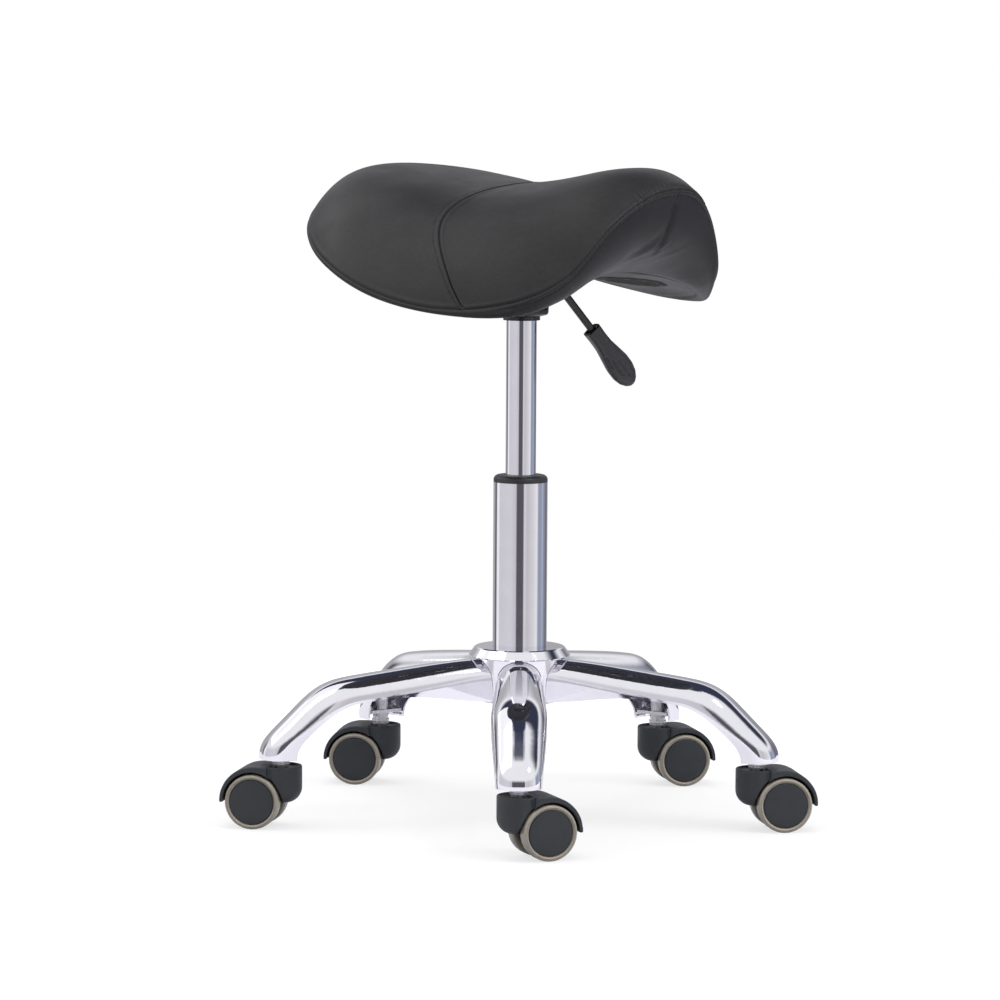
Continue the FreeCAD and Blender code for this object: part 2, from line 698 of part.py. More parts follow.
# Recess in the underside for the board.
clear = 0.3
recess_low = D["saddle_base"].value - 20
board_high = D["plate_low"].value + D["plate_thick"].value + D["board_thick"].value
recess = Part.makeBox(
    D["board_long"].value + 2 * clear, D["board_wide"].value + 2 * clear,
    board_high + clear - recess_low,
    V(-D["board_long"].value / 2 - clear, -D["board_wide"].value / 2 - clear, recess_low))
foam = foam.cut(recess)
cushion = doc.addObject("Part::Feature", "seat_cushion")
cushion.Shape = foam
node(cushion, "seat_cushion")

# ---------------------------------------------------------------- checks and files

doc.recompute()
bad = [obj.Name for obj in doc.Objects if "Invalid" in obj.State or "Error" in obj.State]
if bad:
    raise ValueError("objects that failed: %s" % ", ".join(bad))
for obj in NODES:
    if obj.Shape.isNull() or not obj.Shape.isValid():
        raise ValueError("%s has no valid shape" % obj.Label)
    if not obj.Shape.Solids:
        raise ValueError("%s holds no solid" % obj.Label)

os.makedirs("parts", exist_ok=True)
for obj in NODES:
    obj.Shape.exportStep("parts/%s.step" % obj.Label)
print("%d sub-parts written" % len(NODES))
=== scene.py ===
import json
import math

import bpy
import numpy as np
from mathutils import Matrix, Vector
from mathutils.bvhtree import BVHTree
from mathutils.kdtree import KDTree


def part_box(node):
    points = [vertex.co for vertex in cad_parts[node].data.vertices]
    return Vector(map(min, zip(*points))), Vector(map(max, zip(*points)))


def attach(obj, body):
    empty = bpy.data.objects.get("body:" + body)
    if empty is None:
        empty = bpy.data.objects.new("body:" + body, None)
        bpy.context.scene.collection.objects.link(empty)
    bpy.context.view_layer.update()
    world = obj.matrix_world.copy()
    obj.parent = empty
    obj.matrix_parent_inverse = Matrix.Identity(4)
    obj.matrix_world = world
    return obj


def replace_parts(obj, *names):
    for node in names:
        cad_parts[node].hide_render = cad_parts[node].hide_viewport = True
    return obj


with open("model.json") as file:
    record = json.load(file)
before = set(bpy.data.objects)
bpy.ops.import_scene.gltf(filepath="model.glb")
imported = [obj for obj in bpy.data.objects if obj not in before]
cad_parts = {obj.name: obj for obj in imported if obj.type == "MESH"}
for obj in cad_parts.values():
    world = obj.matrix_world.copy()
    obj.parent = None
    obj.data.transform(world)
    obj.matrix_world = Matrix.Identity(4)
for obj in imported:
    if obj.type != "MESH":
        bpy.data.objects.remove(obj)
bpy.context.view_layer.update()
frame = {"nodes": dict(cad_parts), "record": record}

# Rolling saddle stool. Metres; +X to the saddle's horn, +Y to the sitter's left.

VIEW_TURN = math.radians(33.0)
RIGHT = Vector((math.cos(VIEW_TURN), math.sin(VIEW_TURN), 0.0))
AWAY = Vector((-math.sin(VIEW_TURN), math.cos(VIEW_TURN), 0.0))
UP = Vector((0.0, 0.0, 1.0))


# ------------------------------------------------------------------ camera

def make_camera():
    """Long lens, a little above the wheels, looking slightly down."""
    distance, lift, aim_high = 4.125, 0.09848, 0.300
    yaw, pitch, roll = -0.0046, 0.0015, 0.0058
    spot = UP * (aim_high + distance * math.sin(lift)) - AWAY * (distance * math.cos(lift))
    down = lift + pitch
    look = (RIGHT * math.sin(yaw) + AWAY * math.cos(yaw)) * math.cos(down) - UP * math.sin(down)
    side = RIGHT * math.cos(yaw) - AWAY * math.sin(yaw)
    top = side.cross(look)
    side, top = (side * math.cos(roll) + top * math.sin(roll),
                 top * math.cos(roll) - side * math.sin(roll))
    camera = bpy.data.objects.new("camera", bpy.data.cameras.new("camera"))
    camera.data.sensor_width = 36.0
    camera.data.lens = 161.2
    camera.data.clip_end = 100.0
    turn = Matrix((side, top, -look)).transposed().to_4x4()
    camera.matrix_world = Matrix.Translation(spot) @ turn
    bpy.context.scene.collection.objects.link(camera)
    bpy.context.scene.camera = camera


make_camera()


# ------------------------------------------------------------------ node helpers

class Graph:
    """Short names for making shader nodes."""

    def __init__(self, tree):
        self.tree = tree

    def add(self, kind, **settings):
        made = self.tree.nodes.new(kind)
        for key, value in settings.items():
            setattr(made, key, value)
        return made

    def link(self, source, target):
        self.tree.links.new(source, target)

    def math(self, operation, first, second=None, third=None):
        made = self.add("ShaderNodeMath", operation=operation)
        for index, value in enumerate((first, second, third)):
            if value is None:
                continue
            if isinstance(value, (int, float)):
                made.inputs[index].default_value = value
            else:
                self.link(value, made.inputs[index])
        return made.outputs[0]

    def ramp(self, factor, low, high, out_low=0.0, out_high=1.0):
        """Eased step from one value to another."""
        made = self.add("ShaderNodeMapRange", interpolation_type="SMOOTHSTEP")
        self.link(factor, made.inputs["Value"])
        limits = {"From Min": low, "From Max": high, "To Min": out_low, "To Max": out_high}
        for name, value in limits.items():
            made.inputs[name].default_value = value
        return made.outputs[0]

    def mix(self, factor, first, second):
        """Colour between two colours, each a tuple or a socket."""
        made = self.add("ShaderNodeMix", data_type="RGBA")
        self.link(factor, made.inputs["Factor"])
        for name, value in (("A", first), ("B", second)):
            socket = [s for s in made.inputs if s.name == name and s.type == "RGBA"][0]
            if isinstance(value, tuple):
                socket.default_value = (*value, 1.0)
            else:
                self.link(value, socket)
        return [s for s in made.outputs if s.type == "RGBA"][0]

    def noise(self, coords, scale, detail=3.0, rough=0.5):
        made = self.add("ShaderNodeTexNoise")
        self.link(coords, made.inputs["Vector"])
        made.inputs["Scale"].default_value = scale
        made.inputs["Detail"].default_value = detail
        made.inputs["Roughness"].default_value = rough
        return made.outputs["Fac"]

    def bump(self, height, distance, strength=1.0, under=None):
        made = self.add("ShaderNodeBump")
        self.link(height, made.inputs["Height"])
        made.inputs["Distance"].default_value = distance
        made.inputs["Strength"].default_value = strength
        if under is not None:
            self.link(under, made.inputs["Normal"])
        return made.outputs["Normal"]


def new_material(name):
    made = bpy.data.materials.new(name)
    made.use_nodes = True
    graph = Graph(made.node_tree)
    shader = made.node_tree.nodes["Principled BSDF"]
    coords = graph.add("ShaderNodeTexCoord").outputs["Object"]
    return made, graph, shader, coords


# ------------------------------------------------------------------ light and floor

# What the chrome mirrors near the horizon, by turn from the camera, positive to
# its right: grey walls with a dark screen in the middle and blue ones at the side.
SURROUND = [
    (-180, (0.46, 0.46, 0.48)), (-140, (0.40, 0.40, 0.42)), (-129, (0.10, 0.10, 0.11)),
    (-123, (0.12, 0.12, 0.13)), (-114, (0.98, 0.97, 1.00)), (-106, (0.95, 0.94, 0.98)),
    (-97, (0.65, 0.64, 0.68)), (-40, (0.69, 0.68, 0.72)), (-19, (0.60, 0.58, 0.62)),
    (-14, (0.095, 0.088, 0.10)), (12, (0.10, 0.093, 0.105)), (17, (0.74, 0.72, 0.75)),
    (30, (0.58, 0.57, 0.59)), (60, (0.74, 0.73, 0.75)), (76, (0.86, 0.87, 0.88)),
    (84, (0.31, 0.34, 0.44)), (99, (0.30, 0.34, 0.46)), (107, (0.42, 0.46, 0.55)),
    (118, (0.31, 0.33, 0.40)), (142, (0.12, 0.115, 0.145)), (160, (0.40, 0.40, 0.42)),
]


def make_world():
    """A pale studio, dark overhead and high behind, white to the lens itself."""
    world = bpy.data.worlds.new("studio")
    bpy.context.scene.world = world
    world.use_nodes = True
    graph = Graph(world.node_tree)
    world.node_tree.nodes.clear()
    ray = graph.add("ShaderNodeTexCoord").outputs["Generated"]

    def along(axis):
        made = graph.add("ShaderNodeVectorMath", operation="DOT_PRODUCT")
        graph.link(ray, made.inputs[0])
        made.inputs[1].default_value = axis
        return made.outputs["Value"]

    to_degrees = 180 / math.pi
    turn = graph.math("MULTIPLY", graph.math("ARCTAN2", along(RIGHT), along(-AWAY)), to_degrees)
    lift = graph.math("MULTIPLY", graph.math("ARCSINE", along(UP)), to_degrees)
    walls = graph.add("ShaderNodeValToRGB")
    graph.link(graph.math("MULTIPLY_ADD", turn, 1 / 360, 0.5), walls.inputs["Fac"])
    while len(walls.color_ramp.elements) < len(SURROUND):
        walls.color_ramp.elements.new(1.0)
    for stop, (angle, shade) in zip(walls.color_ramp.elements, SURROUND):
        stop.position = angle / 360 + 0.5
        stop.color = (*shade, 1.0)
    colour = graph.mix(graph.ramp(lift, 14.0, 30.0), walls.outputs["Color"], (0.92, 0.92, 0.95))
    behind = graph.ramp(graph.math("ABSOLUTE", turn), 80.0, 105.0)
    rear_roof = graph.math("MULTIPLY", graph.ramp(lift, 28.0, 38.0), behind)
    roof = graph.math("MAXIMUM", rear_roof, graph.ramp(lift, 78.0, 84.0))
    colour = graph.mix(roof, colour, (0.028, 0.032, 0.060))
    for_lens = graph.add("ShaderNodeLightPath").outputs["Is Camera Ray"]
    colour = graph.mix(for_lens, colour, (1.0, 1.0, 1.0))
    back = graph.add("ShaderNodeBackground")
    graph.link(colour, back.inputs["Color"])
    back.inputs["Strength"].default_value = 1.0
    out = graph.add("ShaderNodeOutputWorld")
    graph.link(back.outputs[0], out.inputs["Surface"])


def area_light(name, place, aim, side, power, mirrored=True):
    """Square lamp aimed at a place; one that isn't mirrored leaves no highlight on the chrome."""
    light = bpy.data.objects.new(name, bpy.data.lights.new(name, "AREA"))
    light.data.shape = "RECTANGLE"
    light.data.size = light.data.size_y = side
    light.data.energy = power
    light.location = place
    light.visible_glossy = mirrored
    light.rotation_euler = (Vector(aim) - Vector(place)).to_track_quat("-Z", "Y").to_euler()
    bpy.context.scene.collection.objects.link(light)


def make_floor():
    """White disc that fades into the white studio at its rim and shows soft contact shadows."""
    mesh = bpy.data.meshes.new("floor")
    reach, count = 1.1, 128
    turns = [2 * math.pi * step / count for step in range(count)]
    rim = [(reach * math.cos(turn), reach * math.sin(turn), 0.0) for turn in turns]
    mesh.from_pydata(rim, [], [tuple(range(count))])
    floor = bpy.data.objects.new("floor", mesh)
    bpy.context.scene.collection.objects.link(floor)
    made, graph, shader, coords = new_material("floor_paint")
    path = graph.add("ShaderNodeLightPath")
    seen, mirrored, bounced = (0.28, 0.28, 0.28), (0.74, 0.73, 0.77), (0.32, 0.32, 0.33)
    paint = graph.mix(path.outputs["Is Glossy Ray"], seen, mirrored)
    graph.link(graph.mix(path.outputs["Is Diffuse Ray"], paint, bounced), shader.inputs["Base Color"])
    shader.inputs["Roughness"].default_value = 0.8
    shader.inputs["Specular IOR Level"].default_value = 0.1
    distance = graph.add("ShaderNodeVectorMath", operation="LENGTH")
    graph.link(coords, distance.inputs[0])
    brighter_out = graph.ramp(distance.outputs["Value"], 0.25, 0.80, 0.70, 1.0)
    rim_glow = graph.math("MULTIPLY", brighter_out, path.outputs["Is Camera Ray"])
    shader.inputs["Emission Color"].default_value = (1.0, 1.0, 1.0, 1.0)
    graph.link(rim_glow, shader.inputs["Emission Strength"])
    mesh.materials.append(made)


bpy.context.scene.view_settings.view_transform = "Standard"
make_world()
make_floor()
area_light("key", -RIGHT * 1.3 + AWAY * 0.3 + UP * 2.1, (0, 0, 0.4), 2.3, 17.0)
area_light("top", -RIGHT * 0.1 + AWAY * 0.1 + UP * 2.3, (0, 0, 0.3), 1.7, 31.0, False)
area_light("side", RIGHT * 1.9 - AWAY * 0.5 + UP * 0.75, (0, 0, 0.45), 0.6, 14.0, False)
area_light("glint", RIGHT * 1.0 - AWAY * 0.9 + UP * 1.9, (0.15, 0, 0.55), 0.30, 5.0)


# ------------------------------------------------------------------ materials

def chrome():
    """Bright plating with a faint haze; a trace of glow keeps its darkest reflections blue."""
    made, graph, shader, coords = new_material("polished_chrome")
    haze = graph.noise(coords, 60.0, 4.0)
    graph.link(graph.mix(haze, (0.80, 0.80, 0.83), (0.90, 0.89, 0.91)), shader.inputs["Base Color"])
    wear = graph.noise(coords, 25.0, 5.0, 0.6)
    graph.link(graph.ramp(wear, 0.3, 0.8, 0.03, 0.10), shader.inputs["Roughness"])
    shader.inputs["Metallic"].default_value = 1.0
    shader.inputs["Emission Color"].default_value = (0.60, 0.60, 1.0, 1.0)
    shader.inputs["Emission Strength"].default_value = 0.016
    return made


def plastic(name, dark, light, rough, grain, scale=900.0, specular=0.5):
    """Clouded tone, uneven polish and a grain of the given depth in metres."""
    made, graph, shader, coords = new_material(name)
    graph.link(graph.mix(graph.noise(coords, 35.0, 4.0), dark, light), shader.inputs["Base Color"])
    graph.link(graph.ramp(graph.noise(coords, 120.0, 4.0), 0.2, 0.8, rough - 0.05, rough + 0.06),
               shader.inputs["Roughness"])
    shader.inputs["Specular IOR Level"].default_value = specular
    graph.link(graph.bump(graph.noise(coords, scale, 3.0), grain), shader.inputs["Normal"])
    return made


def steel(name, dark, light, rough):
    """Bare or plated metal with a clouded tone and uneven polish."""
    made, graph, shader, coords = new_material(name)
    graph.link(graph.mix(graph.noise(coords, 80.0, 5.0), dark, light), shader.inputs["Base Color"])
    graph.link(graph.ramp(graph.noise(coords, 200.0, 4.0), 0.2, 0.8, rough - 0.08, rough + 0.08),
               shader.inputs["Roughness"])
    shader.inputs["Metallic"].default_value = 1.0
    return made


def leather(name, dark, light, rough):
    """Coated fabric: pebbled grain, faint creases and uneven polish."""
    made, graph, shader, coords = new_material(name)
    cloud = graph.noise(coords, 9.0, 4.0, 0.55)
    fine = graph.noise(coords, 260.0, 3.0)
    tone = graph.math("ADD", graph.math("MULTIPLY", cloud, 0.7), graph.math("MULTIPLY", fine, 0.3))
    graph.link(graph.mix(graph.ramp(tone, 0.35, 0.65), dark, light), shader.inputs["Base Color"])
    worn = graph.ramp(graph.noise(coords, 16.0, 5.0, 0.6), 0.3, 0.7, rough - 0.05, rough + 0.05)
    graph.link(worn, shader.inputs["Roughness"])
    shader.inputs["Specular IOR Level"].default_value = 0.30
    cells = graph.add("ShaderNodeTexVoronoi", feature="SMOOTH_F1")
    graph.link(coords, cells.inputs["Vector"])
    cells.inputs["Scale"].default_value = 900.0
    grain = graph.bump(cells.outputs["Distance"], 0.00010, 0.7)
    creases = graph.bump(graph.noise(coords, 70.0, 5.0, 0.65), 0.0005, 0.25, grain)
    graph.link(creases, shader.inputs["Normal"])
    return made


CHROME = chrome()
ZINC = steel("zinc_plate", (0.50, 0.50, 0.50), (0.68, 0.68, 0.70), 0.30)
BLACK_STEEL = plastic("black_paint", (0.012, 0.012, 0.013), (0.020, 0.020, 0.021), 0.24, 0.00001, 300.0)
BLACK_PLASTIC = plastic("black_plastic", (0.022, 0.022, 0.023), (0.036, 0.036, 0.038), 0.42, 0.00005)
CHARCOAL = plastic("charcoal_plastic", (0.019, 0.023, 0.027), (0.028, 0.033, 0.038), 0.45, 0.00004)
TREAD = plastic("taupe_tread", (0.35, 0.315, 0.255), (0.44, 0.40, 0.33), 0.27, 0.00002)
WOOD = plastic("plywood_face", (0.30, 0.20, 0.12), (0.42, 0.30, 0.19), 0.60, 0.0002, 300.0)
LEATHER = leather("black_leather", (0.0135, 0.0132, 0.0138), (0.020, 0.0195, 0.020), 0.44)
STAPLE = steel("dull_staple", (0.10, 0.10, 0.10), (0.18, 0.18, 0.18), 0.45)
THREAD = plastic("thread", (0.008, 0.008, 0.009), (0.016, 0.016, 0.018), 0.55, 0.00002, 2500.0, 0.3)
# Dark cloth under the seat. Its lighter, brownish tone is partly painted light: it stands in for light
# bounced up from the floor.
DUST_CLOTH_WITH_PAINTED_BOUNCE = plastic("dust_cloth_with_painted_bounce", (0.048, 0.045, 0.042), (0.068, 0.064, 0.060), 0.90, 0.00012, 1400.0, 0.15)
GRIP_PLASTIC = plastic("grip_plastic", (0.020, 0.020, 0.022), (0.030, 0.030, 0.033), 0.33, 0.000004, 250.0)

SLOT_LOOKS = {
    "chrome_steel": CHROME, "zinc_steel": ZINC, "black_steel": BLACK_STEEL,
    "black_plastic": BLACK_PLASTIC, "charcoal_plastic": CHARCOAL, "tread": TREAD,
    "plywood": WOOD, "upholstery": LEATHER,
}
node_slot = {entry["node"]: entry["material_slot"] for entry in frame["record"]["subparts"]}
for name, obj in frame["nodes"].items():
    obj.data.materials.clear()
    obj.data.materials.append(SLOT_LOOKS[node_slot[name]])


# ------------------------------------------------------------------ saddle shape

# By angle from the horn, both sides alike, in millimetres: seam radius and
# height, hem radius and height, rise of the top on its way out, swell of the band.
SEAM_OUT, SEAM_HIGH, HEM_OUT, HEM_HIGH, RISE, SWELL = range(1, 7)
SADDLE = [
    (0, 167, 583, 100, 506, 42, 20),
    (15, 168, 576, 106, 505, 38, 17),
    (30, 174, 551, 128, 500, 14, 12),
    (45, 185, 507, 156, 490, -22, 11),
    (60, 190, 486, 180, 478, -46, 10),
    (80, 192, 480, 187, 475, -54, 3),
    (100, 195, 493, 190, 486, -36, 2),
    (125, 197, 522, 192, 514, 10, 2),
    (150, 196, 552, 190, 544, 38, 3),
    (180, 192, 571, 186, 562, 46, 3),
]
MIDDLE, BASE = 586.0, 499.0     # heights at the middle of the top and of the underside
MM = 0.001


def saddle_at(column, degrees):
    """Smooth value of one column of the table at an angle from the horn."""
    away = np.abs((np.asarray(degrees, float) + 180.0) % 360.0 - 180.0)
    angles = np.array([row[0] for row in SADDLE], float)
    values = np.array([row[column] for row in SADDLE], float)
    slopes = np.zeros(len(values))
    slopes[1:-1] = (values[2:] - values[:-2]) / (angles[2:] - angles[:-2])
    left = np.clip(np.searchsorted(angles, away, side="right") - 1, 0, len(angles) - 2)
    span = angles[left + 1] - angles[left]
    u = (away - angles[left]) / span
    return ((2 * u**3 - 3 * u**2 + 1) * values[left] + (u**3 - 2 * u**2 + u) * slopes[left] * span
            + (3 * u**2 - 2 * u**3) * values[left + 1] + (u**3 - u**2) * slopes[left + 1] * span)


def in_plan(radius, degrees, height):
    """Points in metres from radius and height in millimetres."""
    angle = np.radians(degrees)
    return np.stack([radius * np.cos(angle), radius * np.sin(angle), height], axis=-1) * MM


def cover_point(share, degrees):
    """Top of the seat, from its middle out to the seam."""
    edge, rise = saddle_at(SEAM_HIGH, degrees), saddle_at(RISE, degrees)
    height = MIDDLE + rise * share**2 + (edge - MIDDLE - rise) * share**6
    return in_plan(saddle_at(SEAM_OUT, degrees) * share, degrees, height)


def cover_at_plan(plan):
    """Point of the cover over a plan position (..., 2) in metres."""
    degrees = np.degrees(np.arctan2(plan[..., 1], plan[..., 0]))
    share = np.hypot(plan[..., 0], plan[..., 1]) / (saddle_at(SEAM_OUT, degrees) * MM)
    return cover_point(share, degrees)


def band_point(share, degrees):
    """Side of the seat, from the seam down to the hem, standing out from the straight line."""
    seam_out, seam_high = saddle_at(SEAM_OUT, degrees), saddle_at(SEAM_HIGH, degrees)
    run, drop = saddle_at(HEM_OUT, degrees) - seam_out, seam_high - saddle_at(HEM_HIGH, degrees)
    length = np.hypot(run, drop)
    stand = saddle_at(SWELL, degrees) * 4 * share * (1 - share)
    return in_plan(seam_out + run * share + stand * drop / length, degrees,
                   seam_high - drop * share + stand * run / length)


def under_point(share, degrees):
    """Underside of the seat, from its middle out to the hem."""
    edge = saddle_at(HEM_HIGH, degrees)
    return in_plan(saddle_at(HEM_OUT, degrees) * share, degrees, BASE + (edge - BASE) * share**4)


# ------------------------------------------------------------------ sewn panels

SEAM_END = 72.4          # angle at which the seam across the seat meets the border
SEAT_HALF_WIDE = 0.181   # where the seam across the seat ends, to each side
COLUMNS = 401            # of each panel's grid
INSIDE = np.array([0.0, 0.0, 0.53])      # a place within the foam
STRIP = 0.0050           # width of the double-stitched strip along the front border
LAP = 0.0048             # width of the turned edge along the seam across the seat
HEM_WIDE = 0.0025        # width of the crease at the hem
HORN_RADIUS = 172.0      # of the border there, in millimetres


def shares_eased(count, pull):
    """Shares from 0 to 1, closer together at both ends."""
    even = np.linspace(0.0, 1.0, count)
    return even - pull * np.sin(2 * np.pi * even) / (2 * np.pi)


def side_steps():
    """Columns from the right side, -1, to the left side, 1; close together in the middle."""
    even = np.linspace(-1.0, 1.0, COLUMNS)
    return even * (0.6 + 0.4 * even**2)


def ramp_up(value, low, high):
    """Eased step from 0 at low to 1 at high."""
    share = np.clip((value - low) / (high - low), 0.0, 1.0)
    return share * share * (3 - 2 * share)


def hump(distance, width):
    """Bell-shaped bump, 1 at no distance."""
    return np.exp(-(distance / width) ** 2)


def cross_seam(v):
    """Forward place of the seam across the seat, for a sideways place in metres."""
    out = np.abs(v) / SEAT_HALF_WIDE
    crown = 0.012 * np.clip(1.0 - out / 0.55, 0.0, 1.0) ** 1.5
    flank = 0.048 * np.clip((out - 0.6) / 0.4, 0.0, None) ** 3
    border = 0.004 * np.clip((out - 0.97) / 0.035, 0.0, 1.0) ** 2
    return 0.0005 + crown + flank + border


def smooth_rows(field, passes):
    """Evens a field out over its grid."""
    for _ in range(passes):
        wide = np.pad(field, 1, mode="edge")
        beside = wide[:-2, 1:-1] + wide[2:, 1:-1] + wide[1:-1, :-2] + wide[1:-1, 2:]
        field = (wide[1:-1, 1:-1] * 2 + beside) / 6
    return field


def normals_of(grid):
    """Unit normals of a grid of points; a line that shrinks to a point takes its neighbour's."""
    normal = np.cross(np.gradient(grid, axis=0), np.gradient(grid, axis=1))
    normal /= np.maximum(np.linalg.norm(normal, axis=-1, keepdims=True), 1e-15)
    edges = (np.s_[:, 0], np.s_[:, 2]), (np.s_[:, -1], np.s_[:, -3]), (np.s_[-1], np.s_[-3])
    for edge, inner in edges:
        if np.ptp(grid[edge], axis=0).max() < 1e-6:
            normal[edge] = normal[inner]
    return normal


def run_length(grid, axis):
    """Length along each line of the grid, from its start."""
    step = np.linalg.norm(np.diff(grid, axis=axis), axis=-1)
    first = np.zeros_like(np.take(step, [0], axis=axis))
    return np.concatenate([first, np.cumsum(step, axis=axis)], axis=axis)


class Panel:
    """One cut piece of the cover: a grid of points, with outward normals and runs from its edges."""

    def __init__(self, grid, angles):
        self.start = self.grid = grid
        self.angles = np.broadcast_to(angles, grid.shape[:2])
        self.normal = normals_of(grid)
        self.turned = np.sum(self.normal * (grid - INSIDE)) < 0
        if self.turned:
            self.normal = -self.normal
        length, across = run_length(grid, 0), run_length(grid, 1)
        self.from_first, self.from_last = length, length[-1:] - length
        self.from_left, self.from_right = across, across[:, -1:] - across

    def push(self, amount):
        """Moves the grid along its normals by a field of distances."""
        self.grid = self.grid + self.normal * amount[..., None]

    def to_edge(self):
        """Distance to the nearest sewn edge that runs across the grid."""
        return np.minimum(self.from_first, self.from_last)


def top_panel(angles, rows):
    """Cover from the seam across the seat out to the border."""
    side = np.sin(np.radians(side_steps() * SEAM_END)) / math.sin(math.radians(SEAM_END))
    border = cover_point(np.ones(COLUMNS), angles)[:, :2]
    seam_v = side * np.abs(border[0, 1])
    seam = np.stack([cross_seam(seam_v), seam_v], axis=-1)
    seam[0], seam[-1] = border[0], border[-1]
    share = shares_eased(rows, 0.85)[:, None, None]
    return Panel(cover_at_plan(seam[None] * (1 - share) + border[None] * share), angles)


def band_panel(angles, rows, pull):
    """Side of the seat from the border down to the hem, its rows drawn towards both edges."""
    return Panel(band_point(shares_eased(rows, pull)[:, None], angles[None, :]), angles)


def shared(panels, values):
    """Averages values over the points that panels have in common; also each panel's indices."""
    starts = np.concatenate([panel.start.reshape(-1, 3) for panel in panels])
    group = np.unique(np.round(starts, 6), axis=0, return_inverse=True)[1].ravel()
    flat = np.concatenate([value.reshape(-1, 3) for value in values])
    count = np.bincount(group)
    sums = np.stack([np.bincount(group, weights=flat[:, axis]) for axis in range(3)], axis=1)
    cuts = np.cumsum([panel.start.shape[0] * panel.start.shape[1] for panel in panels])[:-1]
    return sums / count[:, None], np.split(group, cuts)


def settle_normals(panels):
    """Gives neighbours one direction along the edge they share, and eases into it."""
    mean, groups = shared(panels, [panel.normal for panel in panels])
    for panel, group in zip(panels, groups):
        edge = mean[group].reshape(panel.grid.shape)
        reach = 0.004
        first = hump(panel.from_first, reach)[..., None]
        last = hump(panel.from_last, reach)[..., None]
        normal = panel.normal * np.clip(1 - first - last, 0.0, 1.0) + edge[0] * first + edge[-1] * last
        for rim in (np.s_[0], np.s_[-1], np.s_[:, 0], np.s_[:, -1]):
            normal[rim] = edge[rim]
        panel.normal = normal / np.maximum(np.linalg.norm(normal, axis=-1, keepdims=True), 1e-9)


# ------------------------------------------------------------------ inflation

def closed_form():
    """The whole saddle as one closed form for the simulation."""
    turns = np.arange(0.0, 360.0, 3.0)

    def ring(shape, share):
        return shape(np.full(turns.size, share), turns)

    top_shares = (0.04, 0.15, 0.3, 0.45, 0.6, 0.72, 0.82, 0.9, 0.96, 1.0)
    rings = [ring(cover_point, share) for share in top_shares]
    rings += [ring(band_point, share) for share in (0.2, 0.4, 0.6, 0.8, 1.0)]
    rings += [ring(under_point, share) for share in (0.9, 0.7, 0.4, 0.05)]
    count = turns.size
    faces = []
    for first in range(0, (len(rings) - 1) * count, count):
        for step in range(count):
            beside = first + (step + 1) % count
            faces.append((first + step, first + count + step, count + beside, beside))
    faces.append(tuple(range(count)))
    faces.append(tuple(reversed([(len(rings) - 1) * count + step for step in range(count)])))
    mesh = bpy.data.meshes.new("saddle_form")
    mesh.from_pydata([tuple(p) for p in np.array(rings).reshape(-1, 3)], [], faces)
    mesh.update()
    return mesh


def seam_lines():
    """Points along every seam, which the simulation holds."""
    turns = np.linspace(-180.0, 180.0, 500)
    lines = [cover_point(np.ones(turns.size), turns), band_point(np.ones(turns.size), turns)]
    v = np.linspace(-0.178, 0.178, 180)
    lines.append(cover_at_plan(np.stack([cross_seam(v), v], axis=-1)))
    lines.append(band_point(np.linspace(0.0, 0.6, 40), np.zeros(40)))
    return np.concatenate(lines)


def coords_of(mesh):
    """Vertex places as an array of (x, y, z) rows."""
    values = np.empty(len(mesh.vertices) * 3)
    mesh.vertices.foreach_get("co", values)
    return values.reshape(-1, 3)


# The foam form is made slimmer, then blown up between its held seams; metres.
SLIMMER = 0.0025
FORM_VOXEL = 0.0055
HELD_REACH = 0.012       # how far from a seam its hold fades out
FRAMES = 20
MOST_SWELLING = 0.006


def hold_seams(form):
    """Vertex group that pins the seams and the underside."""
    lines = seam_lines()
    tree = KDTree(len(lines))
    for index, point in enumerate(lines):
        tree.insert(point, index)
    tree.balance()
    held = form.vertex_groups.new(name="held")
    for vertex in form.data.vertices:
        gap = tree.find(vertex.co)[2]
        hold = 1.0 if vertex.normal.z < -0.55 else max(0.0, 1.0 - gap / HELD_REACH)
        held.add([vertex.index], hold, "REPLACE")


def inflate():
    """Swells a slimmer form between its held seams; returns a tree of the result."""
    form = bpy.data.objects.new("saddle_form", closed_form())
    scene = bpy.context.scene
    scene.collection.objects.link(form)
    bpy.context.view_layer.objects.active = form
    form.select_set(True)
    slim = form.modifiers.new("slim", "DISPLACE")
    slim.strength = -SLIMMER
    slim.mid_level = 0.0
    remesh = form.modifiers.new("remesh", "REMESH")
    remesh.mode = "VOXEL"
    remesh.voxel_size = FORM_VOXEL
    for modifier in (slim, remesh):
        bpy.ops.object.modifier_apply(modifier=modifier.name)
    rest = coords_of(form.data)
    hold_seams(form)
    cloth = form.modifiers.new("cloth", "CLOTH")
    cloth.settings.use_pressure = True
    cloth.settings.uniform_pressure_force = 4.0
    cloth.settings.effector_weights.gravity = 0.0
    cloth.settings.vertex_group_mass = "held"
    cloth.settings.tension_stiffness = cloth.settings.compression_stiffness = 40.0
    cloth.settings.shear_stiffness = 20.0
    cloth.settings.bending_stiffness = 2.0
    cloth.settings.quality = 6
    cloth.collision_settings.use_collision = False
    cloth.point_cache.frame_start, cloth.point_cache.frame_end = 1, FRAMES
    for step in range(1, FRAMES + 1):
        scene.frame_set(step)
    bpy.ops.object.modifier_apply(modifier="cloth")
    scene.frame_set(1)
    move = coords_of(form.data) - rest
    size = np.linalg.norm(move, axis=1, keepdims=True)
    move *= MOST_SWELLING * np.tanh(size / MOST_SWELLING) / np.maximum(size, 1e-9)
    mesh = form.data
    mesh.vertices.foreach_set("co", (rest + move).ravel())
    mesh.update()
    tree = BVHTree.FromPolygons([vertex.co.copy() for vertex in mesh.vertices],
                                [tuple(polygon.vertices) for polygon in mesh.polygons])
    bpy.data.objects.remove(form)
    return tree


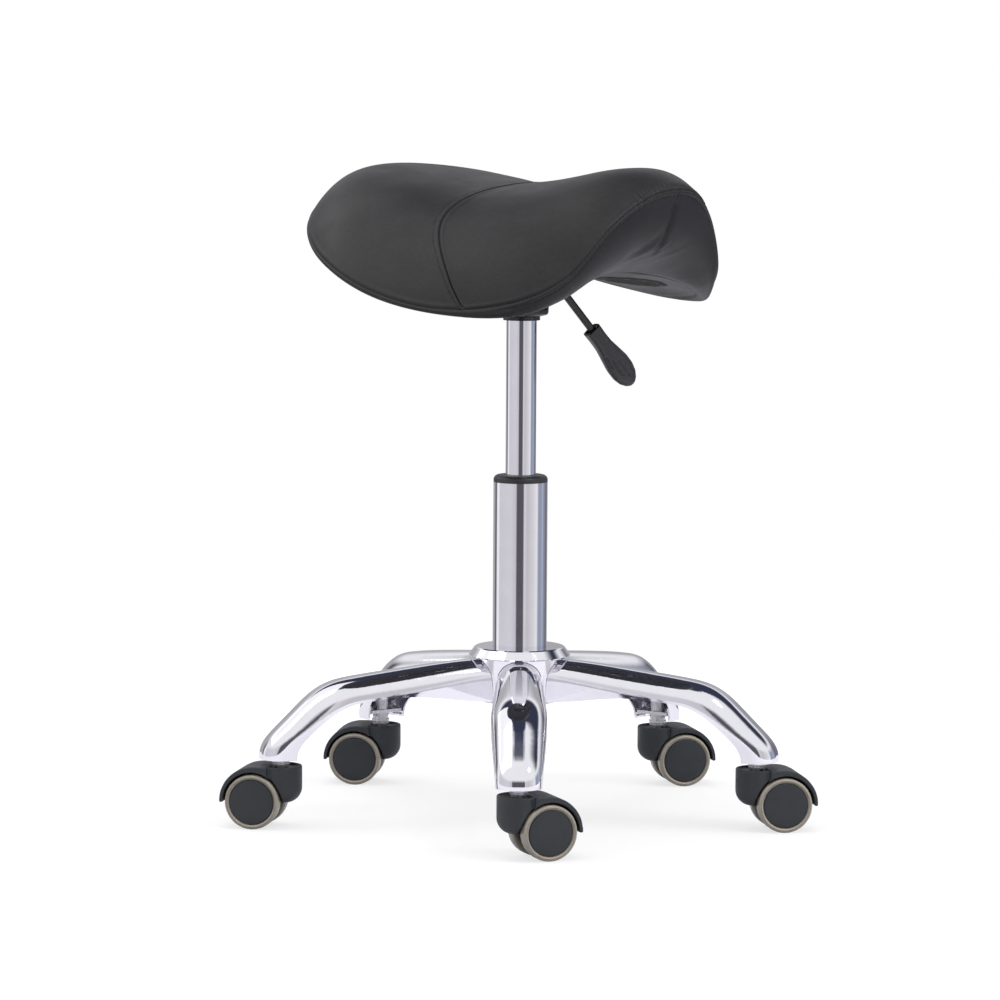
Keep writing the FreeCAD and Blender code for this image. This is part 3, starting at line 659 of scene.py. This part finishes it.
def swell(panel, tree):
    """Takes over the simulated swelling between the seams, smoothed over the panel's grid."""
    reach, passes, most = 0.012, 14, 0.0025
    field = np.zeros(panel.grid.shape[:2])
    for spot in np.ndindex(field.shape):
        normal = Vector(panel.normal[spot])
        hit = tree.ray_cast(Vector(panel.grid[spot]) + normal * reach, -normal, 2 * reach)
        field[spot] = reach - hit[3] if hit[0] is not None else -SLIMMER
    field = smooth_rows(np.clip(field, -0.003, 0.005), passes)
    fuller = np.clip(field - np.median(field), -most, most)
    panel.push(fuller * ramp_up(panel.to_edge(), 0.0, 0.014))


# ------------------------------------------------------------------ seams, gathers and folds

def groove(distance, depth=0.0009, width=0.0010):
    """A sewn line: a fine groove, with the cover rounding up beside it."""
    return -depth * hump(distance, width) + 0.00030 * hump(distance - 0.0034, 0.0018)


def deepest(first, second):
    """The stronger of two reliefs, place by place."""
    return np.where(np.abs(first) > np.abs(second), first, second)


def gathers(panel):
    """Small bulges between the stitches, where the cover is eased round the horn."""
    along = np.radians((panel.angles + 180.0) % 360.0 - 180.0) * HORN_RADIUS
    uneven = along + 1.3 * np.sin(along / 7.0) + 0.8 * np.sin(along / 3.3 + 1.0)
    window = ramp_up(-np.abs(panel.angles - 1.0), -25.0, -17.0)
    spacing = 5.2
    return window * (np.abs(np.sin(np.pi * uneven / spacing)) - 0.45)


def fold(panel, stops, height, width):
    """A soft ridge along a line given by shares of the band's height and angles."""
    way = np.linspace(0.0, 1.0, 60)
    ticks = np.linspace(0.0, 1.0, len(stops))
    shares, angles = zip(*stops)
    line = band_point(np.interp(way, ticks, shares), np.interp(way, ticks, angles))
    gap = np.linalg.norm(panel.start[:, :, None, :] - line, axis=-1)
    nearest = way[gap.argmin(axis=-1)]
    panel.push(height * hump(gap.min(axis=-1), width) * np.sin(np.pi * (0.04 + 0.92 * nearest)))


FRONT_FOLDS = [          # stops as (share down the band, angle), height and width in metres
    ([(0.36, -1.5), (0.50, -4.5), (0.59, -9.0), (0.68, -16.0)], 0.0011, 0.0038),
    ([(0.34, 4.0), (0.44, 4.5), (0.54, -0.5), (0.61, -7.0)], 0.0008, 0.0024),
    ([(0.40, 10.0), (0.52, 7.0), (0.63, 0.0), (0.69, -8.0)], 0.0006, 0.0026),
    ([(0.44, 22.0), (0.56, 16.0), (0.66, 10.0), (0.77, 1.0)], 0.0006, 0.0030),
    ([(0.30, -3.5), (0.42, -6.0), (0.52, -11.0), (0.62, -20.0)], -0.0012, 0.0050),
]


def weld(name, panels, look, body="seat"):
    """Joins panels into one mesh along the points they started from in common."""
    points, groups = shared(panels, [panel.grid for panel in panels])
    faces = []
    for panel, group in zip(panels, groups):
        index = group.reshape(panel.grid.shape[:2])
        corners = np.stack([index[:-1, :-1], index[1:, :-1], index[1:, 1:], index[:-1, 1:]], axis=-1)
        if panel.turned:
            corners = corners[..., ::-1]
        for face in corners.reshape(-1, 4).tolist():
            ring = list(dict.fromkeys(face))
            if len(ring) > 2:
                faces.append(ring)
    return piece_from(name, points, faces, look, body)


def piece_from(name, points, faces, look, body):
    """Smooth-shaded piece that rides on a body."""
    mesh = bpy.data.meshes.new(name)
    mesh.from_pydata([tuple(p) for p in points], [], faces)
    mesh.polygons.foreach_set("use_smooth", [True] * len(mesh.polygons))
    mesh.materials.append(look)
    made = bpy.data.objects.new(name, mesh)
    bpy.context.scene.collection.objects.link(made)
    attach(made, body)
    return made


def line_in(panel, distance, gap, keep=None):
    """Line on a panel at a distance from one of its edges, with its normals."""
    points, normals = [], []
    for column in range(panel.grid.shape[1]):
        run = distance[:, column]
        if run.max() < gap or (keep is not None and not keep[column]):
            continue
        order = np.argsort(run)
        points.append([np.interp(gap, run[order], panel.grid[order, column, axis]) for axis in range(3)])
        normals.append([np.interp(gap, run[order], panel.normal[order, column, axis]) for axis in range(3)])
    return np.array(points), np.array(normals)


def stitch_row(name, line, look, pitch=0.0040, long=0.0031, wide=0.0009, body="seat"):
    """Separate thread stitches laid along a line on the surface."""
    points, normals = line
    along = run_length(points[:, None, :], 0)[:, 0]

    def at(values, spot):
        return Vector([np.interp(spot, along, values[:, axis]) for axis in range(3)])

    rings, sides = 5, 6
    verts, faces = [], []
    for spot in np.arange(pitch / 2, along[-1], pitch):
        place, normal = at(points, spot), at(normals, spot).normalized()
        tangent = (at(points, spot + long / 2) - at(points, spot - long / 2)).normalized()
        side = tangent.cross(normal).normalized()
        base = len(verts)
        for share in np.linspace(-1.0, 1.0, rings):
            girth = wide / 2 * math.sqrt(max(0.08, 1 - share**2))
            lift = wide * (0.12 - 0.55 * share**2)
            for corner in range(sides):
                turn = 2 * math.pi * corner / sides
                verts.append(place + tangent * (share * long / 2) + side * (math.cos(turn) * girth)
                             + normal * (math.sin(turn) * girth + lift))
        for ring in range(rings - 1):
            for corner in range(sides):
                a = base + ring * sides + corner
                b = base + ring * sides + (corner + 1) % sides
                faces.append((a, b, b + sides, a + sides))
        faces.append(tuple(base + corner for corner in reversed(range(sides))))
        faces.append(tuple(base + (rings - 1) * sides + corner for corner in range(sides)))
    return piece_from(name, verts, faces, look, body)


def shape_top(front, rear):
    """Seams of the two top panels: gathers round the horn, and the rear one's turned edge."""
    front.push(deepest(groove(front.from_first), groove(front.from_last)))
    front.push(0.0013 * gathers(front) * hump(front.from_last - 0.002, 0.0055))
    lap = 0.0006 * ramp_up(-rear.from_first, -LAP, 0.0004 - LAP)
    lap += -0.0013 * hump(rear.from_first, 0.0005) - 0.0004 * hump(rear.from_first - LAP, 0.0007)
    rear.push(deepest(lap, groove(rear.from_last)))


def shape_face(face, centre, lean):
    """Half of the face under the horn: stitched strip, gathers, centre seam and folds."""
    near_horn = ramp_up(-np.abs(face.angles), -66.0, -50.0)
    height = face.from_first / (face.from_first + face.from_last)
    face.push(groove(face.from_first, 0.0007, 0.0009))
    strip_middle = hump(face.from_first - STRIP / 2, 0.0017)
    face.push(near_horn * (0.0006 * strip_middle - 0.0008 * hump(face.from_first - STRIP, 0.0008)))
    face.push(gathers(face) * (0.0007 * hump(face.from_first - STRIP / 2, 0.0018)
                               + 0.0006 * hump(face.from_first - STRIP - 0.0025, 0.0022)))
    fades = ramp_up(-height, -0.70, -0.40) * ramp_up(height, 0.02, 0.16)
    face.push(-0.0031 * hump(centre, lean) * fades)
    face.push(-0.0008 * hump(centre, 0.0009) * ramp_up(-height, -0.52, -0.30))
    for stops, high, wide in FRONT_FOLDS:
        fold(face, stops, high, wide)
    face.push(-0.0012 * hump(face.from_last, HEM_WIDE))


def shape_under(under):
    """Hem, and the hollow between the turned-in leather and the foam."""
    recess = ramp_up(under.from_first, 0.003, 0.008) * ramp_up(-under.from_first, -0.034, -0.018)
    under.push(-0.0016 * hump(under.from_first, HEM_WIDE) - 0.0012 * recess)


def make_saddle():
    """The sewn cover over its foam, one closed form, with its stitching and underside."""
    side = side_steps()
    middle = COLUMNS // 2
    front_angles, rear_angles = side * SEAM_END, 180.0 - side * (180.0 - SEAM_END)
    front_top, rear_top = top_panel(front_angles, 72), top_panel(rear_angles, 64)
    right_face = band_panel(front_angles[:middle + 1], 60, 0.7)
    left_face = band_panel(front_angles[middle:], 60, 0.7)
    rear_band = band_panel(rear_angles, 16, 0.4)
    round_angles = np.concatenate([front_angles, rear_angles[::-1][1:]])
    under = Panel(under_point(1.0 - shares_eased(26, 0.75)[:, None], round_angles[None, :]), round_angles)
    panels = [front_top, rear_top, right_face, left_face, rear_band, under]
    settle_normals(panels)
    swelling = inflate()
    for panel in (front_top, rear_top, right_face, left_face):
        swell(panel, swelling)

    shape_top(front_top, rear_top)
    shape_face(right_face, right_face.from_right, 0.0060)
    shape_face(left_face, left_face.from_left, 0.0034)
    rear_band.push(groove(rear_band.from_first) - 0.0012 * hump(rear_band.from_last, HEM_WIDE))
    shape_under(under)

    cushion = weld("saddle_cushion", panels, LEATHER)
    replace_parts(cushion, "seat_cushion")
    border = line_in(front_top, front_top.from_last, 0.0004, np.abs(front_angles) < 62)
    stitch_row("border_stitches", border, THREAD)
    for label, face in (("right", right_face), ("left", left_face)):
        strip = line_in(face, face.from_first, STRIP, np.abs(face.angles[0]) < 60)
        stitch_row("strip_stitches_" + label, strip, THREAD)
    stitch_row("lap_stitches", line_in(rear_top, rear_top.from_first, LAP), THREAD)
    make_underside(under, round_angles)


def make_underside(under, angles):
    """Dust cloth over the foam and the turned-in leather, held by a ring of staples."""
    edge = 0.030
    share = np.linspace(0.0, 1.0, 22)[:, None] ** 1.3
    runs = edge + (under.from_first[-1] - edge)[None, :] * share
    grid = np.empty((*runs.shape, 3))
    for column in range(runs.shape[1]):
        for axis in range(3):
            grid[:, column, axis] = np.interp(runs[:, column], under.from_first[:, column],
                                              under.grid[:, column, axis])
    cloth = Panel(grid, angles)
    turned_edge = 0.45 * hump(cloth.from_first - 0.004, 0.004)
    waves = 0.25 * np.sin(np.radians(cloth.angles * 37.0)) * hump(cloth.from_first, 0.02)
    cloth.push(MM * np.where(cloth.from_first > 0, 0.35 + waves + turned_edge, 0.05))
    weld("dust_cloth_with_painted_bounce", [cloth], DUST_CLOTH_WITH_PAINTED_BOUNCE)
    stitch_row("staples", line_in(cloth, cloth.from_first, 0.006), STAPLE, pitch=0.026, long=0.010,
               wide=0.0009)


make_saddle()


# ------------------------------------------------------------------ casters

def centre_of(node):
    """Middle of a CAD node's box."""
    low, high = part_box(node)
    return (Vector(low) + Vector(high)) / 2


def lathe(name, rings, centre, axis, look, body, steps=96):
    """Closed turned form from (radius, place along the axis) rings, in millimetres."""
    across = axis.orthogonal().normalized()
    up = axis.cross(across)
    points = [centre + (across * math.cos(turn) + up * math.sin(turn)) * radius * MM + axis * along * MM
              for radius, along in rings for turn in np.arange(steps) * 2 * math.pi / steps]
    faces = []
    for ring in range(len(rings)):
        after = (ring + 1) % len(rings)
        for step in range(steps):
            beside = (step + 1) % steps
            faces.append((ring * steps + step, ring * steps + beside,
                          after * steps + beside, after * steps + step))
    return piece_from(name, points, faces, look, body)


def rounded(corners, parts=7):
    """Outline points from (radius, along, rounding) corners of a closed section."""
    rings = []
    for index, (radius, along, rounding) in enumerate(corners):
        here = Vector((radius, along))
        before = Vector(corners[index - 1][:2]) - here
        after = Vector(corners[(index + 1) % len(corners)][:2]) - here
        if rounding == 0:
            rings.append(here)
            continue
        start = here + before.normalized() * rounding
        end = here + after.normalized() * rounding
        for share in np.linspace(0.0, 1.0, parts):
            rings.append(start * (1 - share)**2 + here * 2 * share * (1 - share) + end * share**2)
    return [tuple(ring) for ring in rings]


# Sections of a wheel as (radius, along the axle, rounding) corners, in millimetres.
HALF_WHEEL = 6.25
TYRE_SECTION = rounded([
    (19.6, -5.6, 0), (21.0, -HALF_WHEEL, 0.5), (25.0, -HALF_WHEEL, 2.4), (25.0, HALF_WHEEL, 2.6),
    (22.2, HALF_WHEEL, 0.8), (21.0, 5.0, 0.5), (21.0, 4.55, 0.2), (19.6, 4.55, 0)])
CORE_SECTION = rounded([
    (3.1, -5.0, 0), (7.5, -5.0, 0.8), (8.5, -3.6, 0.8), (15.5, -3.6, 0.8), (17.0, -5.6, 0.6), (19.6, -5.6, 0),
    (19.6, 4.5, 0), (3.1, 4.5, 0)])
CAP_SECTION = rounded([
    (0.05, 6.2, 0), (0.3, 6.2, 0), (5.0, 6.2, 0), (10.0, 6.17, 0), (15.0, 6.08, 0),
    (20.7, 5.6, 1.6), (20.7, 4.6, 0.3), (0.05, 4.6, 0)])


def make_wheel(caster, side):
    """Moulded core under a smooth cap, and a tyre with a rounded lip."""
    body = "wheel_%s_%s" % (caster, side)
    other = "wheel_%s_%s" % (caster, "right" if side == "left" else "left")
    centre = centre_of(body + "_tyre")
    axis = (centre - centre_of(other + "_tyre")).normalized()
    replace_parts(lathe(body + "_tread", TYRE_SECTION, centre, axis, TREAD, body), body + "_tyre")
    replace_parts(lathe(body + "_hub", CORE_SECTION, centre, axis, CHARCOAL, body),
                body + "_core")
    lathe(body + "_cap", CAP_SECTION, centre, axis, CHARCOAL, body)


def make_hood(caster):
    """Housing with its edges and the join of cup and hood softened as moulded."""
    node = frame["nodes"]["caster_%s_housing" % caster]
    hood = bpy.data.objects.new("caster_%s_hood" % caster, node.data.copy())
    bpy.context.scene.collection.objects.link(hood)
    bpy.context.view_layer.objects.active = hood
    remesh = hood.modifiers.new("remesh", "REMESH")
    remesh.mode = "VOXEL"
    remesh.voxel_size = 0.85 * MM
    remesh.use_smooth_shade = True
    soften = hood.modifiers.new("soften", "SMOOTH")
    soften.factor, soften.iterations = 0.5, 9
    for modifier in (remesh, soften):
        bpy.ops.object.modifier_apply(modifier=modifier.name)
    hood.data.materials.clear()
    hood.data.materials.append(CHARCOAL)
    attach(hood, "caster_%s" % caster)
    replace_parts(hood, node.name)


for corner in ("front", "right", "back_right", "back_left", "left"):
    make_hood(corner)
    make_wheel(corner, "left")
    make_wheel(corner, "right")


# ------------------------------------------------------------------ lever grip

LEVER_TURN, LEVER_SLOPE = math.radians(63.0), math.radians(49.0)
GRIP_LONG = 69.0
GRIP_HALF_CAD = 33.0     # half the length of the CAD handle
GRIP_SHAPE = [           # place along the grip, half its width, half its thickness
    (0, 8.0, 6.8), (10, 7.7, 6.9), (20, 8.2, 6.8), (30, 10.2, 6.4), (42, 12.4, 6.0), (52, 12.4, 5.5),
    (60, 10.4, 4.8), (65.5, 6.8, 3.6), (68.2, 3.4, 2.1), (69, 0.3, 0.2),
]
GRIP_GROOVES = [         # from and to, each (place along, place across)
    ((27.0, -8.0), (40.0, -8.6)), ((35.0, -4.2), (53.0, -4.6)), ((40.0, 1.8), (60.0, 1.6)),
]
GRIP_CREASE = [(2.0, 0.2), (10.0, -0.4), (24.0, -2.7), (31.0, 1.8), (38.0, 5.0), (50.0, 8.8), (57.0, 9.4)]


def gap_to(points, line):
    """Distance of plane points (..., 2) to a line of straight runs."""
    best = np.full(points.shape[:-1], 1e9)
    for start, end in zip(line[:-1], line[1:]):
        start, run = np.array(start), np.subtract(end, start)
        share = np.clip(((points - start) @ run) / (run @ run), 0.0, 1.0)
        best = np.minimum(best, np.linalg.norm(points - start - share[..., None] * run, axis=-1))
    return best


def make_grip():
    """Moulded paddle: boxy socket, a raised facet along its upper side, finger grooves."""
    shape = np.array(GRIP_SHAPE, float)
    along = GRIP_LONG * np.sin(np.linspace(0.0, 1.0, 110) * math.pi / 2)
    half_wide = np.interp(along, shape[:, 0], shape[:, 1])
    half_thick = np.interp(along, shape[:, 0], shape[:, 2])
    kernel = np.ones(5) / 5
    half_wide[3:-3] = np.convolve(half_wide, kernel, "same")[3:-3]
    half_thick[3:-3] = np.convolve(half_thick, kernel, "same")[3:-3]
    steps = 112
    turn = np.arange(steps) * 2 * math.pi / steps
    square = 2.0 / np.interp(along, [0, 22, GRIP_LONG], [3.6, 2.8, 2.3])[:, None]
    wide = np.sign(np.cos(turn)) * np.abs(np.cos(turn)) ** square * half_wide[:, None]
    thick = np.sign(np.sin(turn)) * np.abs(np.sin(turn)) ** square * half_thick[:, None]
    flat = np.stack([np.broadcast_to(along[:, None], wide.shape), wide], axis=-1)
    facing = np.clip(np.abs(thick) / half_thick[:, None] * 1.6 - 0.5, 0.0, 1.0)
    crease = gap_to(flat, GRIP_CREASE)
    crease_at = np.interp(flat[..., 0], [p for p, _ in GRIP_CREASE], [w for _, w in GRIP_CREASE])
    above = 1 / (1 + np.exp(-(flat[..., 1] - crease_at) / 0.8))
    cut = 0.8 * hump(crease, 0.8) - 1.3 * above * hump(crease, 5.0)
    for groove_line in GRIP_GROOVES:
        cut = np.maximum(cut, 1.5 * hump(gap_to(flat, groove_line), 0.8))
    thick = thick - np.sign(thick) * cut * facing
    level = Vector((math.cos(LEVER_TURN), math.sin(LEVER_TURN), 0.0))
    ahead = level * math.cos(LEVER_SLOPE) - UP * math.sin(LEVER_SLOPE)
    side = level.cross(UP)
    up = side.cross(ahead)
    mouth = centre_of("lever_handle") - ahead * GRIP_HALF_CAD * MM

    def spot(x, w, t):
        return mouth + (ahead * x + up * w + side * t) * MM

    points = [spot(flat[r, c, 0], wide[r, c], thick[r, c]) for r in range(len(along)) for c in range(steps)]
    for radius, depth in ((5.3, 0.2), (4.9, 0.8), (4.9, 6.0), (0.4, 6.0)):
        points += [spot(depth, radius * math.cos(t), radius * math.sin(t)) for t in turn]
    count = len(along)
    order = [count + 3, count + 2, count + 1, count] + list(range(count))
    faces = []
    for first, second in zip(order[:-1], order[1:]):
        for c in range(steps):
            beside = (c + 1) % steps
            faces.append((first * steps + c, second * steps + c,
                          second * steps + beside, first * steps + beside))
    faces.append([order[0] * steps + c for c in range(steps)])
    faces.append([order[-1] * steps + c for c in reversed(range(steps))])
    grip = piece_from("lever_grip", points, faces, GRIP_PLASTIC, "release_lever")
    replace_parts(grip, "lever_handle")


make_grip()


# ------------------------------------------------------------------ taper socket

def make_skirt():
    """Moulded lower shoulder of the taper socket, round the top of the gas cylinder."""
    foot = centre_of("taper_socket")
    foot.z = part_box("taper_socket")[0][2]
    outline = rounded([(16.9, 3.4, 0), (24.6, 5.2, 2.4), (25.1, 15.0, 0), (16.9, 15.0, 0)])
    lathe("socket_skirt", outline, foot, UP, BLACK_STEEL, "seat")


make_skirt()
